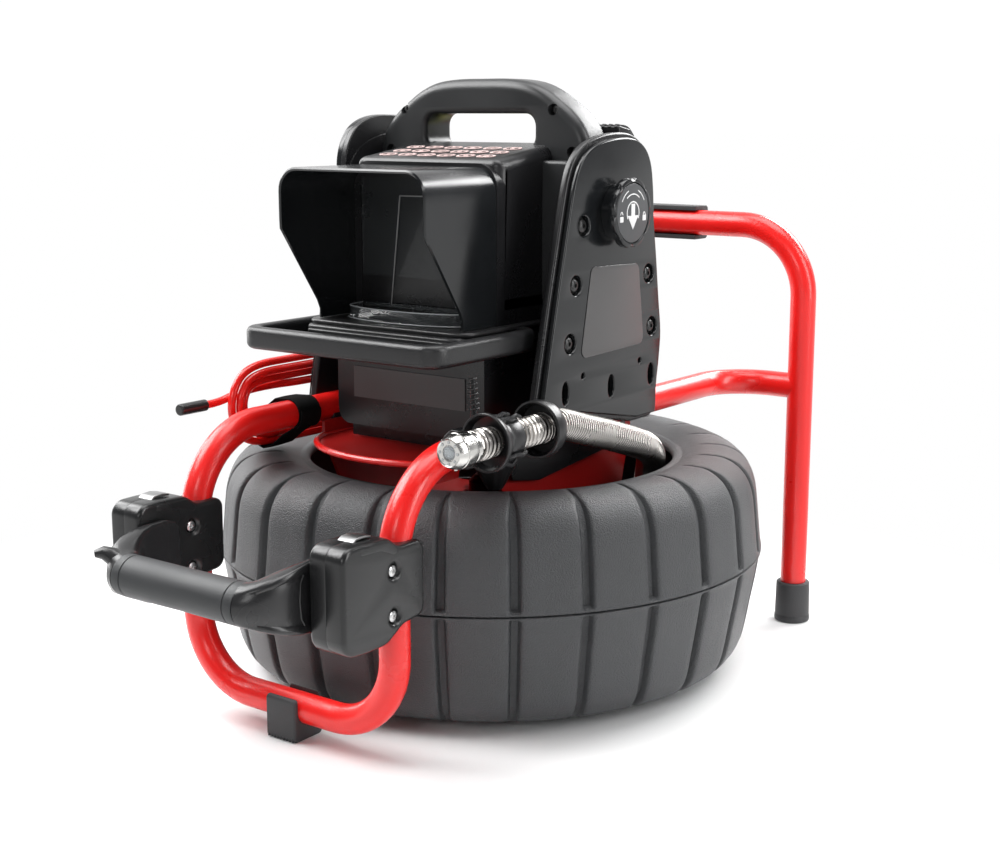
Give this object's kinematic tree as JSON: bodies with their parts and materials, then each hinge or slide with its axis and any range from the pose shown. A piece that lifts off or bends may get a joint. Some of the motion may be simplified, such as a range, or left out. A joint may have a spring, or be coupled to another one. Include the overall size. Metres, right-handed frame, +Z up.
{
  "type": "drain inspection camera reel",
  "caption": "Drain inspection camera reel on a tube frame: spinning cable drum, docked hooded monitor, folding carry handle, spring-mounted camera head and a spare system cable.",
  "frame": {"origin": "centre of the footprint on the floor, at the height of the feet", "axes": "+Z up, -Y towards the user in front of the carry grip and screen, +X towards the lock knob and camera head"},
  "size_m": [0.447, 0.5922, 0.473],
  "materials": {
    "red_powder_coat": "gloss powder coat with fine orange peel",
    "drum_plastic": "fine moulded grain",
    "gloss_black": "polished moulding",
    "satin_black": "satin moulding with light texture",
    "handle_grey": "matte soft-touch",
    "rubber_grey": "matte",
    "steel": "plain zinc or stainless",
    "spring_steel": "bright drawn wire",
    "polished_steel": "turned and polished",
    "led_lens": "clear lens over emitters",
    "clear_screen": "clear cover",
    "lcd_dark": "display off",
    "label_grey": "blank satin label",
    "key_print": "printed membrane",
    "red_jacket": "smooth cable jacket",
    "black_cap": "moulded end cap",
    "strap_fabric": "woven hook and loop",
    "push_cable_jacket": "ribbed push cable jacket"
  },
  "bodies": {
    "frame": {"axle": "steel", "block_screws": "steel", "bracket_fasteners": "steel", "cable_cap": "black_cap", "cable_gland": "satin_black", "cable_hank": "red_jacket", "cable_lead_in": "red_jacket", "cable_strap": "strap_fabric", "cable_tail": "red_jacket", "camera_head": "polished_steel", "camera_window": "led_lens", "coarse_springs": "spring_steel", "dock_back_panel": "satin_black", "dock_cover_screws": "steel", "dock_left_cheek": "satin_black", "dock_left_cover": "gloss_black", "dock_right_cheek": "satin_black", "dock_right_cover": "gloss_black", "dock_seat": "satin_black", "dock_side_labels": "label_grey", "front_foot_clip": "rubber_grey", "front_loop_tube": "red_powder_coat", "guide_clamp": "satin_black", "guide_rings": "satin_black", "hub_bracket": "red_powder_coat", "latch_tabs": "steel", "led_ring": "led_lens", "left_block_inner": "gloss_black", "left_block_outer": "gloss_black", "long_spring": "spring_steel", "rear_bar_pad": "rubber_grey", "rear_feet": "rubber_grey", "rear_frame_tube": "red_powder_coat", "right_block_inner": "gloss_black", "right_block_outer": "gloss_black", "slip_ring_cap": "satin_black", "spring_core": "satin_black"},
    "drum": {"drum_upper_shell": "drum_plastic", "drum_lower_shell": "drum_plastic", "drum_hub": "drum_plastic", "drum_bearings": "steel", "push_cable_coil": "push_cable_jacket"},
    "carry_handle": {"carry_grip": "handle_grey", "handle_arm_left": "gloss_black", "handle_arm_right": "gloss_black"},
    "lock_knob": {"lock_knob": "satin_black", "lock_knob_dial": "label_grey"},
    "monitor": {"sun_hood": "gloss_black", "monitor_body": "satin_black", "screen_frame": "gloss_black", "screen_panel": "lcd_dark", "screen_glass": "clear_screen", "keypad_panel": "satin_black", "keypad_keys": "key_print", "monitor_rear_case": "satin_black", "rear_case_screws": "steel", "tray_ring": "satin_black", "tray_floor": "satin_black", "monitor_base": "satin_black", "base_label": "label_grey"}
  },
  "joints": [
    {"name": "drum_spin", "type": "hinge", "parent": "frame", "child": "drum", "pos_m": [0, 0.05865, 0.05], "axis": [0, 0, 1], "continuous": true},
    {"name": "carry_handle_fold", "type": "hinge", "parent": "frame", "child": "carry_handle", "pos_m": [0, -0.22935, 0.135], "axis": [-1, 0, 0], "range_deg": [0, 90]},
    {"name": "lock_knob_turn", "type": "hinge", "parent": "frame", "child": "lock_knob", "pos_m": [0.1247, 0.06205, 0.372], "axis": [1, 0, 0], "range_deg": [-60, 60]},
    {"name": "monitor_lift", "type": "slide", "parent": "frame", "child": "monitor", "axis": [0, 0, 1], "range_m": [0, 0.06]}
  ]
}
